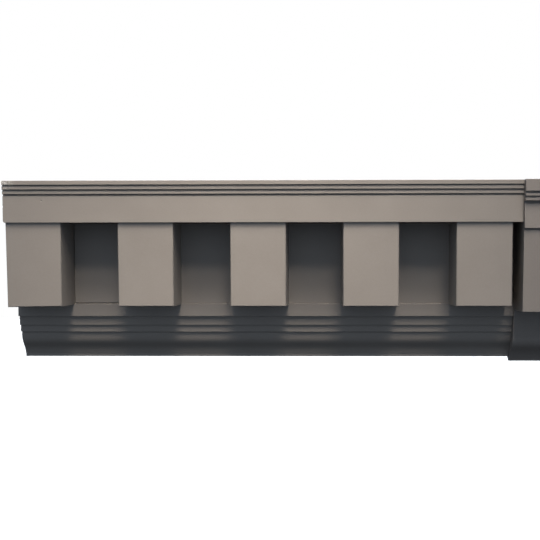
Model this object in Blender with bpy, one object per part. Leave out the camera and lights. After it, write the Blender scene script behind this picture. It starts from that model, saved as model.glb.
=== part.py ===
"""Dentil moulding with the cover block that laps its right end, in metres, +Z up.

X runs along the moulding. The wall is the plane Y = 0, and the front faces -Y.
The origin is on the back face, half-way up the moulding and half-way along the whole length.
"""
import math
from collections import namedtuple

import bmesh
import bpy
from mathutils import Matrix, Vector

# Length and height
TOTAL_LENGTH = 0.7432
LEFT_END = -TOTAL_LENGTH / 2
BLOCK_WIDTH = 0.094
BLOCK_LEFT = LEFT_END + TOTAL_LENGTH - BLOCK_WIDTH
JOINT_GAP = 0.0003
MOULDING_HEIGHT = 0.2286
TOP = MOULDING_HEIGHT / 2

# Each member of a profile, from the top down: its height, how far its top and foot stand out
# from the wall, and the height and depth of the sunk line under it
Member = namedtuple("Member", "height out_top out_foot line_height line_depth")

CROWN = (
    Member(0.0052, 0.0870, 0.0870, 0.0017, 0.0030),  # crown band
    Member(0.0040, 0.0859, 0.0859, 0.0020, 0.0028),  # upper reed
    Member(0.0037, 0.0848, 0.0848, 0.0022, 0.0032),  # lower reed
    Member(0.0333, 0.0838, 0.0838, 0.0, 0.0),  # fascia
)
RECESS_PANEL = Member(0.1043, 0.0340, 0.0340, 0.0, 0.0)
LOWER_BODY = (
    Member(0.0162, 0.0370, 0.0370, 0.0026, 0.0045),  # frieze
    Member(0.0095, 0.0330, 0.0320, 0.0021, 0.0030),  # upper step
    Member(0.0070, 0.0292, 0.0288, 0.0014, 0.0036),  # lower step
    Member(0.0036, 0.0256, 0.0252, 0.0, 0.0),  # bead
)
BEAD_ROLL_HEIGHT = 0.0125
BEAD_ROLL_OUT = 0.0195
BEAD_ROLL_SWELL = 0.0013
COVE_HOLLOW = 0.0010
COVE_FOOT_OUT = 0.0118
LIP_OUT = 0.0112
LIP_HEIGHT = 0.0042

BLOCK_CROWN = (
    Member(0.0146, 0.0950, 0.0950, 0.0030, 0.0035),  # band
    Member(0.0029, 0.0938, 0.0938, 0.0023, 0.0032),  # upper reed
    Member(0.0034, 0.0927, 0.0927, 0.0037, 0.0065),  # lower reed
    Member(0.0300, 0.0896, 0.0896, 0.0024, 0.0050),  # fascia
    Member(0.1018, 0.0875, 0.0830, 0.0, 0.0),  # face
    Member(0.0363, 0.0400, 0.0345, 0.0, 0.0),  # lower face
)
BLOCK_HEIGHT = 0.2342
BLOCK_BELLY_HEIGHT = 0.0159
BLOCK_BELLY_OUT = 0.0270
BLOCK_BELLY_SWELL = 0.0022
BLOCK_LIP_OUT = 0.0135
BLOCK_LIP_HEIGHT = 0.0014
BLOCK_FOOT_HOLLOW = 0.0010
BLOCK_BACK_CHAMFER = 0.0090

# Dentils
DENTIL_COUNT = 5
DENTIL_PITCH = 0.1412
DENTIL_WIDTH = 0.0696
DENTIL_OUT_TOP = 0.0817
DENTIL_OUT_FOOT = 0.0802
DENTIL_DRAFT = 0.0020
DENTIL_DROP = 0.0007
ROW_INSET = 0.0022
DENTIL_TENON = 0.0020
DENTIL_ARRIS = 0.0013

# The open seam beside and under the first recess
SEAM_WIDTH = 0.0012
SEAM_DEPTH = 0.0025
SEAM_CLEARANCE = 0.0005

# Small roundings: each takes at most a share of the sides it joins, and is made of a few chords.
# A corner that turns by less than 30 degrees stays as it is
ARRIS = 0.0007
ARRIS_SHARE = 0.4
ARRIS_STEPS = 2
FLAT_CORNER = math.radians(150)
COVE_STEPS = 8
MERGE_DISTANCE = 0.00001

# Moulded polymer, clay-coloured all through, with a satin skin
CLAY = (0.30, 0.262, 0.226, 1.0)
CLAY_ROUGHNESS = 0.55


def clear_scene():
    """Remove what the opened file holds."""
    for obj in list(bpy.data.objects):
        bpy.data.objects.remove(obj, do_unlink=True)


def new_collection(name):
    """Make a collection under the scene's own."""
    collection = bpy.data.collections.new(name)
    bpy.context.scene.collection.children.link(collection)
    return collection


def polymer(name):
    """Make the polymer of one piece."""
    material = bpy.data.materials.new(name)
    material.use_nodes = True
    shader = material.node_tree.nodes["Principled BSDF"]
    shader.inputs["Base Color"].default_value = CLAY
    shader.inputs["Roughness"].default_value = CLAY_ROUGHNESS
    shader.inputs["Metallic"].default_value = 0.0
    return material


def member_outline(members, level):
    """Follow the front of some members downwards, as (out, z) points, and give the level reached."""
    points = []
    for member in members:
        foot = level - member.height
        points.append((member.out_top, level))
        points.append((member.out_foot, foot))
        level = foot
        if member.line_height > 0:
            sunk = member.out_foot - member.line_depth
            level = foot - member.line_height
            points.append((sunk, foot))
            points.append((sunk, level))
    return points, level


def shallow_curve(start, end, hollow):
    """Join two points by a shallow curve whose middle dips inside the chord. A hollow below 0 swells it."""
    start = Vector(start)
    end = Vector(end)
    inward = Vector((end.y - start.y, start.x - end.x)).normalized()
    points = []
    for step in range(COVE_STEPS + 1):
        share = step / COVE_STEPS
        dip = hollow * math.sin(math.pi * share)
        points.append(tuple(start.lerp(end, share) + inward * dip))
    return points


def round_arrises(points, radius):
    """Replace each salient corner of a closed outline, run down its front, by a short curve."""
    rounded = []
    for index, corner in enumerate(points):
        here = Vector(corner)
        before = Vector(points[index - 1]) - here
        after = Vector(points[(index + 1) % len(points)]) - here
        turn = before.x * after.y - before.y * after.x
        bend = before.angle(after)
        is_salient = turn > 0 and bend < FLAT_CORNER
        if not is_salient:
            rounded.append(corner)
            continue
        reach = min(radius, ARRIS_SHARE * before.length, ARRIS_SHARE * after.length)
        first = here + before.normalized() * reach
        last = here + after.normalized() * reach
        for step in range(ARRIS_STEPS + 1):
            share = step / ARRIS_STEPS
            rounded.append(tuple(first.lerp(here, share).lerp(here.lerp(last, share), share)))
    return rounded


def outline_solid(name, points, thickness, placement, collection):
    """Extrude a flat outline to both sides of its plane, and make it a closed mesh object."""
    curve = bpy.data.curves.new(name + "_outline", "CURVE")
    curve.dimensions = "2D"
    curve.fill_mode = "BOTH"
    curve.extrude = thickness / 2
    spline = curve.splines.new("POLY")
    spline.points.add(len(points) - 1)
    for point, (across, up) in zip(spline.points, points):
        point.co = (across, up, 0, 1)
    spline.use_cyclic_u = True
    guide = bpy.data.objects.new(name + "_outline", curve)
    guide.matrix_world = placement
    bpy.context.scene.collection.objects.link(guide)
    bpy.context.view_layer.update()
    evaluated = guide.evaluated_get(bpy.context.evaluated_depsgraph_get())
    mesh = bpy.data.meshes.new_from_object(evaluated)
    mesh.name = name
    weld = bmesh.new()
    weld.from_mesh(mesh)
    bmesh.ops.remove_doubles(weld, verts=weld.verts, dist=MERGE_DISTANCE)
    bmesh.ops.recalc_face_normals(weld, faces=weld.faces)
    weld.to_mesh(mesh)
    weld.free()
    solid = bpy.data.objects.new(name, mesh)
    solid.matrix_world = guide.matrix_world.copy()
    collection.objects.link(solid)
    bpy.data.objects.remove(guide, do_unlink=True)
    return solid


def length_placement(start, end):
    """Turn an (out, z) outline so that its thickness fills start to end along X."""
    turn = Matrix(((0, 0, -1), (-1, 0, 0), (0, 1, 0))).to_4x4()
    return Matrix.Translation(((start + end) / 2, 0, 0)) @ turn


def panel_placement(out):
    """Stand an (x, z) outline upright, centred at a distance out from the wall."""
    turn = Matrix(((1, 0, 0), (0, 0, -1), (0, 1, 0))).to_4x4()
    return Matrix.Translation((0, -out, 0)) @ turn


def moulding_profile():
    """Give the moulding's outline, and the levels of the soffit and of the ledge."""
    crown, soffit = member_outline(CROWN, TOP)
    recess, ledge = member_outline((RECESS_PANEL,), soffit)
    lower, bead_foot = member_outline(LOWER_BODY, ledge)
    bottom = TOP - MOULDING_HEIGHT
    lip_top = bottom + LIP_HEIGHT
    roll_foot = (BEAD_ROLL_OUT, bead_foot - BEAD_ROLL_HEIGHT)
    roll = shallow_curve(lower[-1], roll_foot, -BEAD_ROLL_SWELL)[1:]
    cove = shallow_curve(roll_foot, (COVE_FOOT_OUT, lip_top), COVE_HOLLOW)[1:]
    lip = [(LIP_OUT, lip_top), (LIP_OUT, bottom)]
    back = [(0, bottom), (0, TOP)]
    outline = crown + recess + lower + roll + cove + lip + back
    return round_arrises(outline, ARRIS), soffit, ledge


def block_profile():
    """Give the cover block's outline, set well back below its face and turned under at the foot."""
    front, belly_top = member_outline(BLOCK_CROWN, TOP)
    bottom = TOP - BLOCK_HEIGHT
    belly_foot = (BLOCK_BELLY_OUT, belly_top - BLOCK_BELLY_HEIGHT)
    lip_top = (BLOCK_LIP_OUT, bottom + BLOCK_LIP_HEIGHT)
    belly = shallow_curve(front[-1], belly_foot, -BLOCK_BELLY_SWELL)[1:]
    foot = shallow_curve(belly_foot, lip_top, BLOCK_FOOT_HOLLOW)[1:]
    lip = [(BLOCK_LIP_OUT, bottom)]
    back = [(BLOCK_BACK_CHAMFER, bottom), (0, bottom + BLOCK_BACK_CHAMFER), (0, TOP)]
    return round_arrises(front + belly + foot + lip + back, ARRIS)


def dentil_sides(index):
    """Give the left and right sides of one dentil's front face."""
    left = LEFT_END + ROW_INSET + index * DENTIL_PITCH
    return left, left + DENTIL_WIDTH


def add_dentil(mesh, index, soffit, ledge):
    """Add one tapered dentil, with its tenons into the soffit and the recess panel."""
    left, right = dentil_sides(index)
    left_draft = DENTIL_DRAFT if index > 0 else 0.0
    top = soffit + DENTIL_TENON
    foot = ledge - DENTIL_DROP
    lean = (DENTIL_OUT_TOP - DENTIL_OUT_FOOT) / (soffit - foot)
    new_verts = bmesh.ops.create_cube(mesh, size=1.0)["verts"]
    for vert in new_verts:
        is_back = vert.co.y > 0
        is_right = vert.co.x > 0
        level = top if vert.co.z > 0 else foot
        out = DENTIL_OUT_FOOT + lean * (level - foot)
        if is_back:
            out = RECESS_PANEL.out_top - DENTIL_TENON
        if is_right:
            along = right + (DENTIL_DRAFT if is_back else 0.0)
        else:
            along = left - (left_draft if is_back else 0.0)
        vert.co = (along, -out, level)
    edges = {edge for vert in new_verts for edge in vert.link_edges}
    middle = -(RECESS_PANEL.out_top + DENTIL_OUT_FOOT) / 2
    front_edges = [edge for edge in edges if all(vert.co.y < middle for vert in edge.verts)]
    foot_edges = [edge for edge in edges if all(vert.co.z < soffit for vert in edge.verts)
                  and abs(edge.verts[0].co.y - edge.verts[1].co.y) > DENTIL_TENON]
    bmesh.ops.bevel(mesh, geom=front_edges + foot_edges, offset=DENTIL_ARRIS, offset_type="OFFSET",
                    segments=ARRIS_STEPS, profile=0.5, affect="EDGES")


def dentil_row(soffit, ledge, collection):
    """Make the row of dentils, which a union joins to the run."""
    mesh = bmesh.new()
    for index in range(DENTIL_COUNT):
        add_dentil(mesh, index, soffit, ledge)
    data = bpy.data.meshes.new("dentil_row")
    mesh.to_mesh(data)
    mesh.free()
    row = bpy.data.objects.new("dentil_row", data)
    collection.objects.link(row)
    return row


def seam_cutter(soffit, ledge, collection):
    """Make the L-shaped cutter of the seam that runs down beside and then under the first recess."""
    corner = dentil_sides(0)[1] + DENTIL_DRAFT
    far_side = dentil_sides(1)[0] - DENTIL_DRAFT - SEAM_CLEARANCE
    low = ledge + SEAM_CLEARANCE
    high = soffit - SEAM_CLEARANCE
    points = [
        (corner, high),
        (corner, low),
        (far_side, low),
        (far_side, low + SEAM_WIDTH),
        (corner + SEAM_WIDTH, low + SEAM_WIDTH),
        (corner + SEAM_WIDTH, high),
    ]
    placement = panel_placement(RECESS_PANEL.out_top)
    return outline_solid("seam_cutter", points, 2 * SEAM_DEPTH, placement, collection)


def combine(target, other, operation):
    """Join or cut with a Boolean modifier, and leave the other shape as a guide."""
    modifier = target.modifiers.new(other.name, "BOOLEAN")
    modifier.operation = operation
    modifier.solver = "EXACT"
    modifier.object = other
    other.hide_render = True
    other.display_type = "WIRE"


def build_moulding(collection, guides):
    """Build the run of moulding with its dentils and the open seam."""
    outline, soffit, ledge = moulding_profile()
    right_end = BLOCK_LEFT - JOINT_GAP
    placement = length_placement(LEFT_END, right_end)
    moulding = outline_solid("dentil_moulding", outline, right_end - LEFT_END, placement, collection)
    combine(moulding, dentil_row(soffit, ledge, guides), "UNION")
    combine(moulding, seam_cutter(soffit, ledge, guides), "DIFFERENCE")
    moulding.data.materials.append(polymer("moulding_polymer"))


def build_block(collection):
    """Build the plain block that laps the right end of the run."""
    right_end = BLOCK_LEFT + BLOCK_WIDTH
    placement = length_placement(BLOCK_LEFT, right_end)
    block = outline_solid("cover_block", block_profile(), BLOCK_WIDTH, placement, collection)
    block.data.materials.append(polymer("block_polymer"))


def main():
    clear_scene()
    parts = new_collection("Dentil moulding")
    guides = new_collection("Guides")
    build_moulding(parts, guides)
    build_block(parts)


main()
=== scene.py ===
# %% [markdown]
# # A dentil moulding, with the block that laps its end
# The object is a run of exterior trim that is fixed flat over a window. It is moulded in clay-coloured
# polymer, with a row of square teeth, called dentils, under a plain fascia.
#
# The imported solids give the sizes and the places. This lesson models the same two pieces again with the
# soft edges, the open seam and the knocks of the real ones, gives them their finish, and lights them.

# %% Load the fixed frame
import math
from collections import namedtuple

import bmesh
import bpy
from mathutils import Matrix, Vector


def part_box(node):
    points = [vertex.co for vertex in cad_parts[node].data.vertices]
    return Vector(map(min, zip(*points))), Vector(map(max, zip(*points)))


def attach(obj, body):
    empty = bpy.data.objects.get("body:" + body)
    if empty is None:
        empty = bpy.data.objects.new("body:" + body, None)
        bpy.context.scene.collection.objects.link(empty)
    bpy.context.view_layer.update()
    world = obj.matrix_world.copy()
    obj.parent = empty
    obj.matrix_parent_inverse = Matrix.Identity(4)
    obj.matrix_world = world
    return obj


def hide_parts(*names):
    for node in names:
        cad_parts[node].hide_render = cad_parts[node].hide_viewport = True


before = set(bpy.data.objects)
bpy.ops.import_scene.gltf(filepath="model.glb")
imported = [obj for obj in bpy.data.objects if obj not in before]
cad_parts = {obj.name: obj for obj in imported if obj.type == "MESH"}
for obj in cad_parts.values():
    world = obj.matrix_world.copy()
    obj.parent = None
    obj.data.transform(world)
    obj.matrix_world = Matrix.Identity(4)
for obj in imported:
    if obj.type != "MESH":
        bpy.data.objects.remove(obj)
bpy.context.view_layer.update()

# %% [markdown]
# ## Sizes
# A moulding is a stack of plain bands, each with a name of its own. The wall is the plane Y = 0 and the
# front faces -Y, so how far a band stands out is a distance towards -Y. Many bands end in a thin sunk
# line, which is what makes the crisp dark stripes under the crown.
#
# The bands could be read from the solids, but a list of them is easier to follow and to change. Only
# where the run starts and stops is read from the frame.

# %% Where the two pieces lie
run_low, run_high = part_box("dentil_moulding")
block_low, block_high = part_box("cover_block")
LEFT_END = run_low[0]
TOP = run_high[2]
RUN_LENGTH = run_high[0] - LEFT_END
BLOCK_LENGTH = block_high[0] - block_low[0]
print(f"run {RUN_LENGTH * 1000:.1f} mm long, block {BLOCK_LENGTH * 1000:.1f} mm long")

# %% The bands of the run and of the block, from the top down, in metres
# Height, how far the top and the foot stand out, the sunk line's height and depth, and the rounding
# of the head and of the foot. A rounding of 0 is an inner corner, which stays sharp.
Band = namedtuple("Band", "height out_top out_foot line_height line_depth head foot")

CROWN = (
    Band(0.0052, 0.0870, 0.0870, 0.0017, 0.0030, 0.0003, 0.0003),  # crown band
    Band(0.0040, 0.0859, 0.0859, 0.0020, 0.0028, 0.0003, 0.0004),  # upper reed
    Band(0.0037, 0.0848, 0.0848, 0.0022, 0.0032, 0.0003, 0.0004),  # lower reed
    Band(0.0333, 0.0838, 0.0838, 0.0, 0.0, 0.0003, 0.0005),  # fascia
)
RECESS = Band(0.1043, 0.0340, 0.0340, 0.0, 0.0, 0.0, 0.0)
FOOT_BANDS = (
    Band(0.0162, 0.0370, 0.0370, 0.0026, 0.0045, 0.0006, 0.0003),  # frieze
    Band(0.0095, 0.0330, 0.0320, 0.0021, 0.0030, 0.0004, 0.0004),  # upper step
    Band(0.0070, 0.0292, 0.0288, 0.0014, 0.0036, 0.0004, 0.0003),  # lower step
    Band(0.0036, 0.0256, 0.0252, 0.0, 0.0, 0.0008, 0.0),  # bead
)
BEAD_ROLL_HEIGHT = 0.0125
BEAD_ROLL_OUT = 0.0195
BEAD_ROLL_SWELL = 0.0013
COVE_HOLLOW = 0.0010
COVE_FOOT_OUT = 0.0118
LIP_OUT = 0.0112
LIP_HEIGHT = 0.0042
LIP_ROUNDING = 0.0006

BLOCK_CROWN = (
    Band(0.0146, 0.0950, 0.0950, 0.0030, 0.0035, 0.0004, 0.0004),  # band
    Band(0.0029, 0.0938, 0.0938, 0.0023, 0.0032, 0.0003, 0.0004),  # upper reed
    Band(0.0034, 0.0927, 0.0927, 0.0037, 0.0065, 0.0003, 0.0004),  # lower reed
    Band(0.0300, 0.0896, 0.0896, 0.0024, 0.0050, 0.0004, 0.0004),  # fascia
    Band(0.1018, 0.0875, 0.0830, 0.0, 0.0, 0.0004, 0.0006),  # face
    Band(0.0363, 0.0400, 0.0345, 0.0, 0.0, 0.0, 0.0),  # lower face
)
BLOCK_HEIGHT = 0.2342
BLOCK_BELLY_HEIGHT = 0.0159
BLOCK_BELLY_OUT = 0.0270
BLOCK_BELLY_SWELL = 0.0022
BLOCK_LIP_OUT = 0.0135
BLOCK_LIP_HEIGHT = 0.0014
BLOCK_FOOT_HOLLOW = 0.0010
BLOCK_BACK_CHAMFER = 0.0090
CURVE_STEPS = 12

# %% [markdown]
# ## Working in edit mode from a script
# An operator acts on whatever is selected. So each step starts from an empty selection, and then picks
# vertices, edges or faces by where they are. The picking is done with bmesh, which reads the same mesh
# that edit mode shows.

# %% Helpers that start a piece and select its parts
NEAR = 0.00002
STRAIGHT_ON = 0.9
SMOOTH_BELOW = math.radians(32)


def start_clean():
    """Leave edit mode and select nothing."""
    if bpy.context.object and bpy.context.object.mode != "OBJECT":
        bpy.ops.object.mode_set(mode="OBJECT")
    bpy.ops.object.select_all(action="DESELECT")


def pick(kind, wanted):
    """In edit mode, select only the vertices, edges or faces that pass a test, and count them."""
    bpy.ops.mesh.select_mode(type=kind)
    bpy.ops.mesh.select_all(action="DESELECT")
    mesh = bmesh.from_edit_mesh(bpy.context.object.data)
    elements = {"VERT": mesh.verts, "EDGE": mesh.edges, "FACE": mesh.faces}[kind]
    chosen = [element for element in elements if wanted(element)]
    for element in chosen:
        element.select_set(True)
    bmesh.update_edit_mesh(bpy.context.object.data)
    return len(chosen)


def place_in_mesh():
    """Move the active piece's place and turn into its mesh, so that its object sits at the origin."""
    bpy.ops.object.transform_apply(location=True, rotation=True, scale=True)


def settle(piece, name):
    """Name a finished piece, shade its curves smooth but its flats flat, and print what it is made of."""
    start_clean()
    piece.name = name
    piece.data.name = name
    piece.select_set(True)
    bpy.context.view_layer.objects.active = piece
    place_in_mesh()
    bpy.ops.object.shade_smooth_by_angle(angle=SMOOTH_BELOW)
    bpy.ops.object.modifier_add(type="WEIGHTED_NORMAL")
    piece.modifiers[-1].keep_sharp = True
    bpy.ops.object.modifier_apply(modifier=piece.modifiers[-1].name)
    mesh = bmesh.new()
    mesh.from_mesh(piece.data)
    open_edges = sum(1 for edge in mesh.edges if len(edge.link_faces) != 2)
    print(f"{name}: {len(mesh.faces)} faces, {open_edges} open edges, "
          f"{mesh.calc_volume() * 1e6:.0f} cm3")
    mesh.free()


# %% [markdown]
# ## From bands to an outline
# The outline of a moulding is what a saw cut across it would show. Walking down the bands gives its
# corners as pairs: how far out, and how high. The hollow foot is a cove, a shallow curve that throws
# rain clear of the wall.

# %% Walk down the bands, and draw a shallow curve
def walk_down(bands, level):
    """Follow bands down the front. Give their corners, each arris's rounding, and the level reached."""
    corners = []
    arrises = {}
    for band in bands:
        head = (band.out_top, level)
        foot = (band.out_foot, level - band.height)
        corners += [head, foot]
        arrises[head] = band.head
        arrises[foot] = band.foot
        level = foot[1] - band.line_height
        if band.line_height:
            sunk = band.out_foot - band.line_depth
            corners += [(sunk, foot[1]), (sunk, level)]
    return corners, arrises, level


def shallow_curve(start, end, depth):
    """Join two points by a curve that dips behind the straight line. A depth below 0 swells it."""
    start, end = Vector(start), Vector(end)
    inward = Vector((end.y - start.y, start.x - end.x)).normalized()
    shares = [step / CURVE_STEPS for step in range(CURVE_STEPS + 1)]
    return [tuple(start.lerp(end, share) + inward * depth * math.sin(math.pi * share))
            for share in shares]


# %% The run's outline
crown, run_arrises, SOFFIT = walk_down(CROWN, TOP)
recess, _, LEDGE = walk_down((RECESS,), SOFFIT)
foot_bands, foot_arrises, bead_foot = walk_down(FOOT_BANDS, LEDGE)
run_arrises.update(foot_arrises)
lip_top = run_low[2] + LIP_HEIGHT
roll_foot = (BEAD_ROLL_OUT, bead_foot - BEAD_ROLL_HEIGHT)
roll = shallow_curve(foot_bands[-1], roll_foot, -BEAD_ROLL_SWELL)[1:]
cove = shallow_curve(roll_foot, (COVE_FOOT_OUT, lip_top), COVE_HOLLOW)[1:]
lip = [(LIP_OUT, lip_top), (LIP_OUT, run_low[2])]
run_arrises[lip[-1]] = LIP_ROUNDING
run_outline = crown + recess + foot_bands + roll + cove + lip + [(0, run_low[2]), (0, TOP)]
print(len(run_outline), "corners; soffit", round(SOFFIT, 4), "ledge", round(LEDGE, 4))

# %% The block's outline, set well back below its face
block_front, block_arrises, belly_top = walk_down(BLOCK_CROWN, TOP)
block_foot = TOP - BLOCK_HEIGHT
belly_foot = (BLOCK_BELLY_OUT, belly_top - BLOCK_BELLY_HEIGHT)
belly = shallow_curve(block_front[-1], belly_foot, -BLOCK_BELLY_SWELL)[1:]
block_lip = (BLOCK_LIP_OUT, block_foot + BLOCK_LIP_HEIGHT)
block_hollow = shallow_curve(belly_foot, block_lip, BLOCK_FOOT_HOLLOW)[1:]
block_back = [(BLOCK_BACK_CHAMFER, block_foot), (0, block_foot + BLOCK_BACK_CHAMFER), (0, TOP)]
block_outline = block_front + belly + block_hollow + [(BLOCK_LIP_OUT, block_foot)] + block_back
print(len(block_outline), "corners in the block's outline")

# %% [markdown]
# ## Drawing the outline and pushing it along
# Real trim of this kind is pushed or moulded along its length, so the model is made the same way. A
# small plane is merged to a single vertex, and that vertex is extruded from corner to corner until it
# meets itself. The loop is filled, and the face is extruded to the full length.
#
# A lathe or a stack of boxes would also work, but this keeps every band one clean strip of faces.

# %% Make a length of moulding from its outline
START_PLANE = 0.01


def push_out(outline, start, length):
    """Draw an outline across the run with one extruded vertex, fill it, and extrude it along X."""
    start_clean()
    here = outline[0]
    bpy.ops.mesh.primitive_plane_add(size=START_PLANE, location=(start, -here[0], here[1]))
    place_in_mesh()
    bpy.ops.object.mode_set(mode="EDIT")
    bpy.ops.mesh.select_mode(type="VERT")
    bpy.ops.mesh.select_all(action="SELECT")
    bpy.ops.mesh.merge(type="CENTER")
    for corner in outline[1:] + outline[:1]:
        step = (0, here[0] - corner[0], corner[1] - here[1])
        bpy.ops.mesh.extrude_vertices_move(TRANSFORM_OT_translate={"value": step})
        here = corner
    bpy.ops.mesh.select_all(action="SELECT")
    bpy.ops.mesh.remove_doubles(threshold=NEAR)
    bpy.ops.mesh.select_all(action="SELECT")
    bpy.ops.mesh.edge_face_add()
    bpy.ops.mesh.extrude_region_move(TRANSFORM_OT_translate={"value": (length, 0, 0)})
    bpy.ops.mesh.select_all(action="SELECT")
    bpy.ops.mesh.normals_make_consistent(inside=False)
    return bpy.context.object


def is_at(vert, out, level):
    """Tell whether a vertex lies on the long edge at one corner of the outline."""
    return abs(-vert.co.y - out) < NEAR and abs(vert.co.z - level) < NEAR


def round_long_edges(arrises, segments=3):
    """Round the long edges of the piece in edit mode, each group with its own radius."""
    for radius in sorted(set(arrises.values()) - {0}):
        spots = [spot for spot, size in arrises.items() if size == radius]
        count = pick("EDGE", lambda edge: any(all(is_at(vert, *spot) for vert in edge.verts)
                                              for spot in spots))
        bpy.ops.mesh.bevel(offset_type="OFFSET", offset=radius, segments=segments, affect="EDGES")
        print(f"rounded {count} long edges by {radius * 1000:.1f} mm")


# %% [markdown]
# ## The run of moulding
# The mould leaves every outer edge a little round, which is what catches a thin line of light. The
# lower left corner of the fascia is rounder still, from wear. It is rounded first, while it is one
# plain edge, and the fascia's own arris then follows it round in one chain.

# %% Push out the run, and round its edges
WORN_CORNER = 0.0026
ROUND_STEPS = 4
FASCIA_OUT = CROWN[-1].out_foot
FASCIA_ARRIS = CROWN[-1].foot

run = push_out(run_outline, LEFT_END, RUN_LENGTH)
pick("EDGE", lambda edge: all(abs(vert.co.x - LEFT_END) < NEAR and abs(vert.co.z - SOFFIT) < NEAR
                              for vert in edge.verts))
bpy.ops.mesh.bevel(offset_type="OFFSET", offset=WORN_CORNER, segments=ROUND_STEPS, affect="EDGES")


def bounds_fascia(edge):
    """Tell whether an edge is on the left end or the foot of the fascia's front face."""
    on_front = all(abs(-vert.co.y - FASCIA_OUT) < NEAR for vert in edge.verts)
    near_end = all(vert.co.x < LEFT_END + WORN_CORNER + NEAR for vert in edge.verts)
    at_foot = all(abs(vert.co.z - SOFFIT) < NEAR for vert in edge.verts)
    at_head = all(vert.co.z > CROWN_FOOT - NEAR for vert in edge.verts)
    return on_front and (near_end or at_foot) and not at_head


CROWN_FOOT = SOFFIT + CROWN[-1].height
pick("EDGE", bounds_fascia)
bpy.ops.mesh.bevel(offset_type="OFFSET", offset=FASCIA_ARRIS, segments=ROUND_STEPS, affect="EDGES")
run_arrises[(FASCIA_OUT, SOFFIT)] = 0
round_long_edges(run_arrises)
start_clean()

# %% [markdown]
# ## The dentils
# A dentil is a plain tooth. It is narrower at the front than at the back, so that it leaves its mould,
# and its front leans back a little towards the foot. One cube is added at its size and place, its back
# is widened and its front tilted, and its outer edges are rounded. The other four are copies of it.
# The end one is then made flat on its left, and its lower left corner is set 1 mm low and 1 mm in.

# %% One dentil
DENTIL_COUNT = 5
DENTIL_PITCH = 0.1412
DENTIL_WIDTH = 0.0696
DENTIL_OUT_TOP = 0.0817
DENTIL_OUT_FOOT = 0.0802
DENTIL_DRAFT = 0.0020
DENTIL_DROP = 0.0007
DENTIL_TENON = 0.0020
DENTIL_ARRIS = 0.0013
ROW_INSET = 0.0022
END_DENTIL_DROOP = 0.0010
END_DENTIL_LEAN = 0.0010
FRONT_HALF = 0.0600
MIDDLE_LEVEL = (SOFFIT + LEDGE) / 2

dentil_head = SOFFIT + DENTIL_TENON
dentil_foot = LEDGE - DENTIL_DROP
dentil_back = RECESS.out_top - DENTIL_TENON
row_start = LEFT_END + ROW_INSET
dentil_centre = row_start + DENTIL_WIDTH / 2

start_clean()
bpy.ops.mesh.primitive_cube_add(
    size=1,
    location=(dentil_centre, -(DENTIL_OUT_TOP + dentil_back) / 2, (dentil_head + dentil_foot) / 2),
    scale=(DENTIL_WIDTH, DENTIL_OUT_TOP - dentil_back, dentil_head - dentil_foot))
place_in_mesh()
dentil = bpy.context.object
bpy.ops.object.mode_set(mode="EDIT")
back_stretch = (DENTIL_WIDTH + 2 * DENTIL_DRAFT) / DENTIL_WIDTH
pick("FACE", lambda face: face.normal.y > STRAIGHT_ON)
bpy.ops.transform.resize(value=(back_stretch, 1, 1), center_override=(dentil_centre, 0, 0))
pick("EDGE", lambda edge: all(-vert.co.y > DENTIL_OUT_FOOT and vert.co.z < SOFFIT
                              for vert in edge.verts))
bpy.ops.transform.translate(value=(0, DENTIL_OUT_TOP - DENTIL_OUT_FOOT, 0))
pick("FACE", lambda face: face.normal.y < -STRAIGHT_ON)
bpy.ops.mesh.bevel(offset_type="OFFSET", offset=DENTIL_ARRIS, segments=ROUND_STEPS, affect="EDGES")
start_clean()
print("dentil", [round(side * 1000, 1) for side in dentil.dimensions], "mm")

# %% Four copies, and the end one made flat on its left, with its lower corner moved
dentils = [dentil]
for number in range(1, DENTIL_COUNT):
    start_clean()
    dentil.select_set(True)
    bpy.context.view_layer.objects.active = dentil
    bpy.ops.object.duplicate(linked=False)
    bpy.ops.transform.translate(value=(number * DENTIL_PITCH, 0, 0))
    place_in_mesh()
    dentils.append(bpy.context.object)
print(len(dentils), "dentils, one every", round(DENTIL_PITCH * 1000, 1), "mm")

start_clean()
bpy.context.view_layer.objects.active = dentil
dentil.select_set(True)
bpy.ops.object.mode_set(mode="EDIT")
pick("VERT", lambda vert: vert.co.x < dentil_centre and -vert.co.y < RECESS.out_top)
bpy.ops.transform.translate(value=(DENTIL_DRAFT, 0, 0))
pick("VERT", lambda vert: (vert.co.x < dentil_centre and -vert.co.y > FRONT_HALF
                           and vert.co.z < MIDDLE_LEVEL))
bpy.ops.transform.translate(value=(END_DENTIL_LEAN, 0, -END_DENTIL_DROOP))
start_clean()

# %% [markdown]
# ## Joining and cutting
# The real run is one moulding, so the teeth are not left as loose blocks. A Boolean modifier joins
# them to the run. Others cut the open seam beside the first recess, and the small knocks and pits.
# The cutters are plain shapes, and they are deleted once they have cut.

# %% Apply a Boolean and delete the other shape
def combine(piece, other, operation):
    """Join or cut a piece with another shape, apply the modifier, and delete the other shape."""
    start_clean()
    piece.select_set(True)
    bpy.context.view_layer.objects.active = piece
    modifier = piece.modifiers.new(operation, "BOOLEAN")
    modifier.operation = operation
    modifier.solver = "EXACT"
    modifier.object = other
    bpy.ops.object.modifier_apply(modifier=modifier.name)
    bpy.data.objects.remove(other, do_unlink=True)


for tooth in dentils:
    combine(run, tooth, "UNION")
print("run with its dentils:", len(run.data.polygons), "faces")

# %% Cut the open seam down the side of the first recess and along its foot
SEAM_WIDTH = 0.0012
SEAM_DEPTH = 0.0025
SEAM_CLEARANCE = 0.0005


def cutting_box(low, high):
    """Make a plain box between two corners, to cut with."""
    start_clean()
    middle = [(a + b) / 2 for a, b in zip(low, high)]
    bpy.ops.mesh.primitive_cube_add(size=1, location=middle, scale=[b - a for a, b in zip(low, high)])
    place_in_mesh()
    return bpy.context.object


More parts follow.
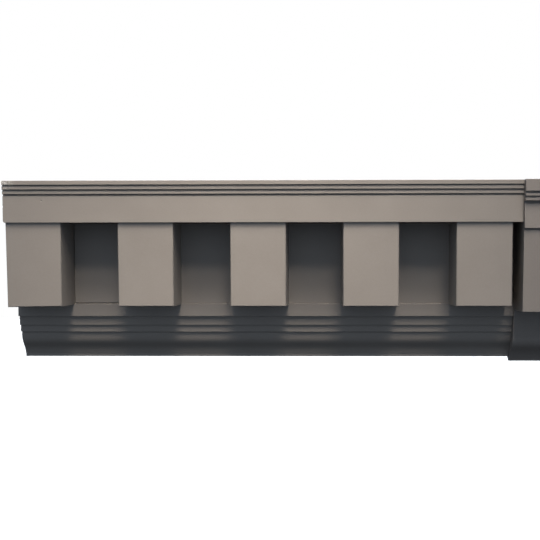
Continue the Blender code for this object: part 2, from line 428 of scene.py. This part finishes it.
seam_left = row_start + DENTIL_WIDTH + DENTIL_DRAFT
seam_right = row_start + DENTIL_PITCH - DENTIL_DRAFT - SEAM_CLEARANCE
seam_back = -RECESS.out_top + SEAM_DEPTH
seam_front = -RECESS.out_top - SEAM_DEPTH
seam_low = LEDGE + SEAM_CLEARANCE
combine(run, cutting_box((seam_left, seam_front, seam_low),
                         (seam_left + SEAM_WIDTH, seam_back, SOFFIT - SEAM_CLEARANCE)), "DIFFERENCE")
combine(run, cutting_box((seam_left, seam_front, seam_low),
                         (seam_right, seam_back, seam_low + SEAM_WIDTH)), "DIFFERENCE")
print("run with its seam:", len(run.data.polygons), "faces")

# %% [markdown]
# ## Knocks and pits
# The left end has been handled. A few crumbs are gone from the corner of the crown, there is a nick
# down the fascia's edge, and the fascia and the block have one small pit each. A small ball, pushed
# out of shape at random with a fixed seed, cuts each of them.

# %% Cut small knocks out of a piece
Knock = namedtuple("Knock", "along out level radius")
OUT_OF_ROUND = 0.12


def knock_out(piece, knocks):
    """Cut each knock with a small ball that has been pushed out of shape."""
    for number, knock in enumerate(knocks):
        start_clean()
        place = (knock.along, -knock.out, knock.level)
        bpy.ops.mesh.primitive_ico_sphere_add(subdivisions=3, radius=knock.radius, location=place)
        place_in_mesh()
        bpy.ops.object.mode_set(mode="EDIT")
        bpy.ops.mesh.select_all(action="SELECT")
        bpy.ops.transform.vertex_random(offset=knock.radius * OUT_OF_ROUND, seed=number + 1)
        combine(piece, bpy.context.object, "DIFFERENCE")


crown_out = CROWN[0].out_top
knock_out(run, (
    Knock(LEFT_END + 0.0002, crown_out - 0.0002, TOP + 0.0002, 0.0016),
    Knock(LEFT_END - 0.0003, crown_out, TOP - 0.0030, 0.0011),
    Knock(LEFT_END + 0.0052, crown_out + 0.0005, TOP + 0.0004, 0.0011),
    Knock(LEFT_END + 0.0098, crown_out + 0.0002, TOP + 0.0006, 0.0013),
    Knock(LEFT_END - 0.0002, FASCIA_OUT + 0.0001, TOP - 0.0318, 0.0015),
    Knock(LEFT_END + 0.0487, FASCIA_OUT + 0.0004, TOP - 0.0244, 0.0013),
))
settle(run, "moulding_run")

# %% [markdown]
# ## The cover block
# The block hides the joint with the next run. It is taller and stands further out, with a crown of
# its own, and it is undercut at the foot, where it stays in shadow. It is pushed out from its outline
# as the run was, and its upright front edges are rounded too.

# %% Push out the block and round it
BLOCK_SIDE_ARRIS = 0.0006
BLOCK_SIDE_STEPS = 2
LONG_UPRIGHT = 0.010
BLOCK_PIT = Knock(block_low[0] + 0.0144, 0.0824, TOP - 0.1426, 0.0013)

block = push_out(block_outline, block_low[0], BLOCK_LENGTH)
round_long_edges(block_arrises)


def is_upright_arris(edge):
    """Tell whether an edge is one of the long upright ones on the block's front."""
    above, below = edge.verts
    same_side = abs(above.co.x - below.co.x) < NEAR
    is_long = abs(above.co.z - below.co.z) > LONG_UPRIGHT
    return same_side and is_long and above.co.y < -NEAR and below.co.y < -NEAR


pick("EDGE", is_upright_arris)
bpy.ops.mesh.bevel(offset_type="OFFSET", offset=BLOCK_SIDE_ARRIS, segments=BLOCK_SIDE_STEPS, affect="EDGES")
start_clean()
knock_out(block, (BLOCK_PIT,))
settle(block, "lapping_block")

# %% [markdown]
# ## The finish
# Both pieces are a polymer that is coloured all through and moulded against a finely etched tool. The
# skin is satin: light spreads wide on it, with no sharp reflection, and the grain only shows as a
# slight unevenness. Colours are written as the hex values that a paint program would show.

# %% Helpers for colours and nodes
def linear(hex_colour):
    """Turn an sRGB hex colour into the linear values that a shader reads."""
    values = [int(hex_colour[i:i + 2], 16) / 255 for i in (1, 3, 5)]
    return [v / 12.92 if v <= 0.04045 else ((v + 0.055) / 1.055) ** 2.4 for v in values] + [1.0]


def add_node(tree, kind, settings=None, values=None, links=None):
    """Add a node, set its options and input values, and link its inputs to other nodes' outputs."""
    node = tree.nodes.new(kind)
    for name, value in (settings or {}).items():
        setattr(node, name, value)
    for name, value in (values or {}).items():
        node.inputs[name].default_value = value
    for name, source in (links or {}).items():
        tree.links.new(source, node.inputs[name])
    return node


# %% [markdown]
# The tool's grain is about 0.3 mm across, which is finer than a dot of the picture, so it is drawn
# 2 mm across. Slow changes of tone, about 60 mm across, come from how the polymer cooled.

# %% Satin moulded polymer
GRAIN = 0.002
CLOUD = 0.060
SCUFF_REACH = 0.014
SCUFF_FULL = 0.002
SCUFF_SPECK = 0.0012
SCUFF_IN = 0.004
SCUFF_DOWN = 0.002
CLAY = "#988E84"
CLAY_SHADE = "#91877D"
# The block's two colours are the run's made a shade darker: painted shade for the light falling off at its
# end.
BLOCK_CLAY_PAINTED_DARKER = "#91877E"
BLOCK_CLAY_SHADE_PAINTED_DARKER = "#897F76"
RUBBED_CLAY = "#D6D0C6"


def satin_moulded_polymer(name, body, shade, scuffed_at=None):
    """Polymer moulded against an etched tool: a body colour, its slightly darker shade, a satin skin."""
    material = bpy.data.materials.new(name)
    material.use_nodes = True
    tree = material.node_tree
    shader = tree.nodes["Principled BSDF"]
    place = add_node(tree, "ShaderNodeTexCoord").outputs["Object"]
    cloud = add_node(tree, "ShaderNodeTexNoise", values={"Scale": 1 / CLOUD, "Detail": 3.0},
                     links={"Vector": place})
    grain = add_node(tree, "ShaderNodeTexNoise", values={"Scale": 1 / GRAIN, "Detail": 2.0},
                     links={"Vector": place})
    tone = add_node(tree, "ShaderNodeMix", {"data_type": "FLOAT"}, {0: 0.35},
                    {2: cloud.outputs["Fac"], 3: grain.outputs["Fac"]})
    spread = add_node(tree, "ShaderNodeMapRange", values={"From Min": 0.3, "From Max": 0.7},
                      links={"Value": tone.outputs[0]})
    colour = add_node(tree, "ShaderNodeMix", {"data_type": "RGBA"}, {6: linear(shade), 7: linear(body)},
                      {0: spread.outputs["Result"]}).outputs[2]
    if scuffed_at:
        reach = add_node(tree, "ShaderNodeVectorMath", {"operation": "DISTANCE"}, {1: scuffed_at},
                         {0: place})
        near = add_node(tree, "ShaderNodeMapRange",
                        values={"From Min": SCUFF_REACH, "From Max": SCUFF_FULL},
                        links={"Value": reach.outputs["Value"]})
        specks = add_node(tree, "ShaderNodeTexNoise", values={"Scale": 1 / SCUFF_SPECK, "Detail": 1.0},
                          links={"Vector": place})
        rubbed = add_node(tree, "ShaderNodeMapRange", values={"From Min": 0.50, "From Max": 0.58},
                          links={"Value": specks.outputs["Fac"]})
        scuff = add_node(tree, "ShaderNodeMath", {"operation": "MULTIPLY"},
                         links={0: near.outputs["Result"], 1: rubbed.outputs["Result"]})
        colour = add_node(tree, "ShaderNodeMix", {"data_type": "RGBA"}, {7: linear(RUBBED_CLAY)},
                          {0: scuff.outputs["Value"], 6: colour}).outputs[2]
    tree.links.new(colour, shader.inputs["Base Color"])
    gloss = add_node(tree, "ShaderNodeMapRange", values={"To Min": 0.50, "To Max": 0.62},
                     links={"Value": cloud.outputs["Fac"]})
    tree.links.new(gloss.outputs["Result"], shader.inputs["Roughness"])
    relief = add_node(tree, "ShaderNodeBump", values={"Strength": 0.25, "Distance": 0.00005},
                      links={"Height": grain.outputs["Fac"]})
    tree.links.new(relief.outputs["Normal"], shader.inputs["Normal"])
    shader.inputs["IOR"].default_value = 1.49
    shader.inputs["Metallic"].default_value = 0.0
    return material


# The run is a soft, greyish clay, rubbed to pale specks at the crown's left corner.
crown_corner = (LEFT_END + SCUFF_IN, -crown_out, TOP - SCUFF_DOWN)
run_finish = satin_moulded_polymer("satin_clay_polymer", CLAY, CLAY_SHADE, crown_corner)
run.data.materials.append(run_finish)

# The block is the same polymer. Its colours are drawn a shade darker than the run's, and that
# darkening is painted shade, standing in for the light falling off at this end.
block_finish_with_painted_shade = satin_moulded_polymer("satin_clay_block_polymer_with_painted_shade", BLOCK_CLAY_PAINTED_DARKER, BLOCK_CLAY_SHADE_PAINTED_DARKER)
block.data.materials.append(block_finish_with_painted_shade)
print("finishes:", run_finish.name, "and", block_finish_with_painted_shade.name)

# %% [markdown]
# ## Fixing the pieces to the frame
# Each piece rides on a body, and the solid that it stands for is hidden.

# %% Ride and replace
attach(run, "root")
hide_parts("dentil_moulding")
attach(block, "root")
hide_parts("cover_block")
print(run.name, "and", block.name, "ride on root")

# %% [markdown]
# ## The floor and the room
# Trim like this hangs on a wall, but here it is shown alone, well above a plain pale floor. The floor
# has a light of its own, and it sends nothing back up, so the undersides of the moulding stay dark.

# %% Floor
FLOOR_DROP = 0.62
FLOOR_SIZE = 14
FLOOR_PAINT = "#F2F2F0"

start_clean()
bpy.ops.mesh.primitive_plane_add(size=FLOOR_SIZE, location=(0, 0, -FLOOR_DROP))
place_in_mesh()
floor = bpy.context.object
floor.name = "studio_floor"
floor_paint = bpy.data.materials.new("matt_white_floor_paint")
floor_paint.use_nodes = True
floor_paint.node_tree.nodes["Principled BSDF"].inputs["Base Color"].default_value = linear(FLOOR_PAINT)
floor_paint.node_tree.nodes["Principled BSDF"].inputs["Roughness"].default_value = 0.9
floor.data.materials.append(floor_paint)
floor.visible_diffuse = False
floor.visible_glossy = False
print("floor", FLOOR_DROP, "m below the middle of the piece")

# %% The air, which is white to the camera and a pale blue glow to the piece
AIR_GLOW = "#C4D7EF"

world = bpy.data.worlds.new("studio_air")
bpy.context.scene.world = world
world.use_nodes = True
air = world.node_tree
air.nodes.clear()
seen = add_node(air, "ShaderNodeBackground", values={"Color": (1, 1, 1, 1), "Strength": 1.0})
direction = add_node(air, "ShaderNodeTexCoord")
rise = add_node(air, "ShaderNodeSeparateXYZ", links={"Vector": direction.outputs["Generated"]})
glow = add_node(air, "ShaderNodeMapRange",
                values={"From Min": -0.6, "From Max": -0.05, "To Min": 0.0, "To Max": 0.50},
                links={"Value": rise.outputs["Z"]})
fill = add_node(air, "ShaderNodeBackground", values={"Color": linear(AIR_GLOW)},
                links={"Strength": glow.outputs["Result"]})
ray = add_node(air, "ShaderNodeLightPath")
both = add_node(air, "ShaderNodeMixShader", links={0: ray.outputs["Is Camera Ray"]})
air.links.new(fill.outputs[0], both.inputs[1])
air.links.new(seen.outputs[0], both.inputs[2])
add_node(air, "ShaderNodeOutputWorld", links={"Surface": both.outputs[0]})

# %% [markdown]
# ## Lights
# A tall bank of four soft lights hangs above and in front. They are high, so the fascia shades the
# tops of the recesses. Seen from the piece they stand one above another, so that shade fades slowly
# down to the ledge. The lower two are wide, which keeps the patches of light on the steps soft, and
# they hang a little to the right. The higher two are narrow, so the upright shadows on the frieze stay
# crisp. Each beam fades to its sides, so both ends are darker than the middle. The air round the piece
# glows a little too, except from below.

# %% Add a rectangular light that looks at a point
NO_BEAM = 180


def add_light(name, place, target, size, power, colour, spread=NO_BEAM):
    """Hang a soft rectangular light, turned to a target. A narrow spread fades to its sides."""
    lamp = bpy.data.lights.new(name, "AREA")
    lamp.spread = math.radians(spread)
    lamp.shape = "RECTANGLE"
    lamp.size, lamp.size_y = size
    lamp.energy = power
    lamp.color = colour
    light = bpy.data.objects.new(name, lamp)
    light.location = place
    light.rotation_euler = (Vector(target) - Vector(place)).to_track_quat("-Z", "Y").to_euler()
    light.visible_camera = False
    bpy.context.scene.collection.objects.link(light)


# %% Hang the four keys
Key = namedtuple("Key", "name height_in_degrees aside aim width spread power")
KEYS = (
    Key("low_key", 51.0, 0.50, 0.03, 1.50, 24.0, 0.94),
    Key("middle_key", 62.0, 0.36, 0.03, 1.40, 24.0, 1.37),
    Key("main_key", 71.2, 0.01, -0.05, 0.62, 15.5, 1.82),
    Key("high_key", 78.5, 0.01, -0.14, 0.62, 15.5, 1.14),
)
KEY_MIDDLE = Vector((0, -0.06, -0.03))
KEY_DISTANCE = 3.4
KEY_THICKNESS = 0.50
KEY_COLOUR = (1.0, 0.95, 0.885)
for key in KEYS:
    height = math.radians(key.height_in_degrees)
    forward = KEY_DISTANCE * math.cos(height)
    place = KEY_MIDDLE + Vector((key.aside, -forward, KEY_DISTANCE * math.sin(height)))
    target = KEY_MIDDLE + Vector((key.aim, 0, 0))
    add_light(key.name, place, target, (key.width, KEY_THICKNESS), key.power, KEY_COLOUR, key.spread)
print(len(KEYS), "keys,", round(sum(key.power for key in KEYS), 2), "W in all")

# %% Hang the fills, and the floor's own light
Fill = namedtuple("Fill", "name place target size power colour")
FILLS = (
    Fill("right_fill", (1.6, -1.2, 0.1), (0.1, -0.05, 0), (0.7, 0.7), 0.3, (0.80, 0.90, 1.0)),
    Fill("rear_fill", (0.2, 1.6, 1.1), (0, 0, 0), (1.6, 1.2), 26, (1.0, 1.0, 1.0)),
)
for fill_light in FILLS:
    add_light(*fill_light)

FLOOR_LIGHT_STRENGTH = 4.2
floor_lamp = bpy.data.lights.new("floor_light", "SUN")
floor_lamp.energy = FLOOR_LIGHT_STRENGTH
floor_light = bpy.data.objects.new("floor_light", floor_lamp)
bpy.context.scene.collection.objects.link(floor_light)
lit = bpy.data.collections.new("lit_by_floor_light")
lit.objects.link(floor)
floor_light.light_linking.receiver_collection = lit
print(len(FILLS), "fills, and one light for the floor")

# %% [markdown]
# ## Camera
# The photograph was taken from almost straight in front, a little over a metre away, and a little
# right of the middle. The camera looks slightly down and to the left, is tilted by a hair, and the
# frame is shifted so that the piece fills it from side to side.

# %% Camera
CAMERA_PLACE = (0.0237, -1.0695, 0.0202)
LOOK_DOWN = math.radians(2.333)
LOOK_LEFT = math.radians(0.808)
TILT = math.radians(0.065)
LENS = 52.70
SENSOR_WIDTH = 36
SHIFT_ACROSS = -0.0697
SHIFT_UP = 0.0339

camera_data = bpy.data.cameras.new("camera")
camera_data.lens = LENS
camera_data.sensor_width = SENSOR_WIDTH
camera_data.shift_x = SHIFT_ACROSS
camera_data.shift_y = SHIFT_UP
camera = bpy.data.objects.new("camera", camera_data)
camera.location = CAMERA_PLACE
camera.rotation_euler = (math.pi / 2 - LOOK_DOWN, TILT, LOOK_LEFT)
bpy.context.scene.collection.objects.link(camera)
bpy.context.scene.camera = camera
bpy.context.scene.view_settings.view_transform = "Standard"
print("camera at", CAMERA_PLACE, "with a", LENS, "mm lens")
